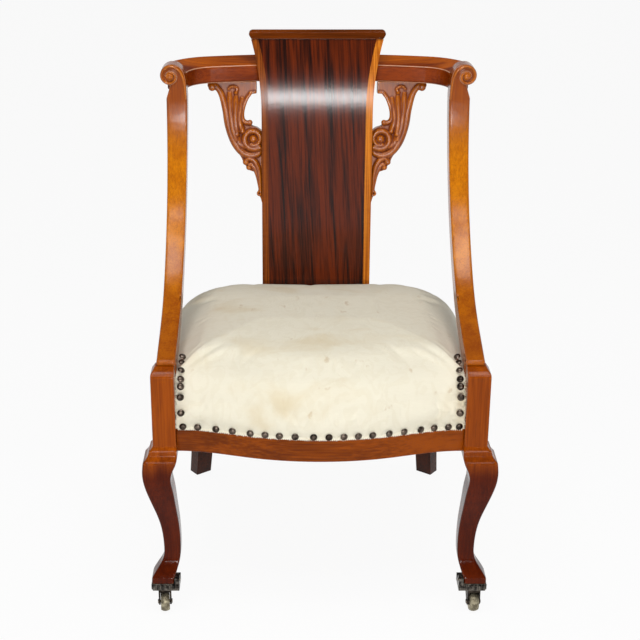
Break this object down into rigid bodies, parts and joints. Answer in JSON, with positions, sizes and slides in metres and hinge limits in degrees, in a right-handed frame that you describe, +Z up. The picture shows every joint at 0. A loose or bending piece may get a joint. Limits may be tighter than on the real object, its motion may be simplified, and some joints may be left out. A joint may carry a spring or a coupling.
{
  "type": "klismos armchair",
  "caption": "Low wooden armchair with swept arm uprights, scrolled ends, a rolled figured back splat, carved brackets, a sprung nailed ivory seat and front toe castors",
  "frame": {"origin": "on the floor, under the middle of the chair's outer box", "axes": "+X to the right of a viewer who faces the chair, +Y from front to back, +Z up"},
  "size_m": [0.5812, 0.5578, 0.9055],
  "materials": {
    "mahogany": "polished varnish",
    "figured_veneer": "polished varnish",
    "light_banding": "polished varnish",
    "frame_beech": "bare planed wood",
    "ivory_cover": "figured cotton, slightly soiled",
    "stuffing": "loose hair and fibre",
    "jute": "coarse plain weave",
    "spring_steel": "drawn wire",
    "aged_nails": "darkened bronze",
    "aged_brass": "worn and dull",
    "dark_castor_metal": "darkened and greasy"
  },
  "bodies": {
    "chair": {"front_leg_left": "mahogany", "front_leg_right": "mahogany", "arm_upright_left": "mahogany", "arm_upright_right": "mahogany", "top_rail_left": "mahogany", "top_rail_right": "mahogany", "top_rail_middle": "mahogany", "front_seat_rail": "mahogany", "carved_bracket_left": "mahogany", "carved_bracket_right": "mahogany", "crest_moulding": "mahogany", "rear_leg_left": "mahogany", "rear_leg_right": "mahogany", "splat_veneer": "figured_veneer", "splat_banding_left": "light_banding", "splat_banding_right": "light_banding", "side_seat_rail_left": "frame_beech", "side_seat_rail_right": "frame_beech", "back_seat_rail": "frame_beech", "corner_braces": "frame_beech", "joint_dowels": "frame_beech", "splat_core": "frame_beech", "seat_cover": "ivory_cover", "seat_stuffing": "stuffing", "seat_webbing": "jute", "spring_hessian": "jute", "seat_springs": "spring_steel", "upholstery_nails": "aged_nails", "castor_socket_left": "dark_castor_metal", "castor_socket_right": "dark_castor_metal", "castor_screws": "dark_castor_metal"},
    "castor_left": {"castor_fork_left": "dark_castor_metal", "castor_axle_left": "aged_brass"},
    "castor_right": {"castor_fork_right": "dark_castor_metal", "castor_axle_right": "aged_brass"},
    "wheel_left": {"castor_wheel_left": "aged_brass"},
    "wheel_right": {"castor_wheel_right": "aged_brass"}
  },
  "joints": [
    {"name": "castor_swivel_left", "type": "hinge", "parent": "chair", "child": "castor_left", "pos_m": [-0.263, -0.23808, 0], "axis": [0, 0, 1], "continuous": true},
    {"name": "wheel_roll_left", "type": "hinge", "parent": "castor_left", "child": "wheel_left", "pos_m": [-0.26216, -0.24603, 0.017], "axis": [0.9945, 0.1045, 0], "continuous": true},
    {"name": "castor_swivel_right", "type": "hinge", "parent": "chair", "child": "castor_right", "pos_m": [0.263, -0.23808, 0], "axis": [0, 0, 1], "continuous": true},
    {"name": "wheel_roll_right", "type": "hinge", "parent": "castor_right", "child": "wheel_right", "pos_m": [0.26356, -0.24606, 0.017], "axis": [0.9976, 0.0698, 0], "continuous": true}
  ]
}
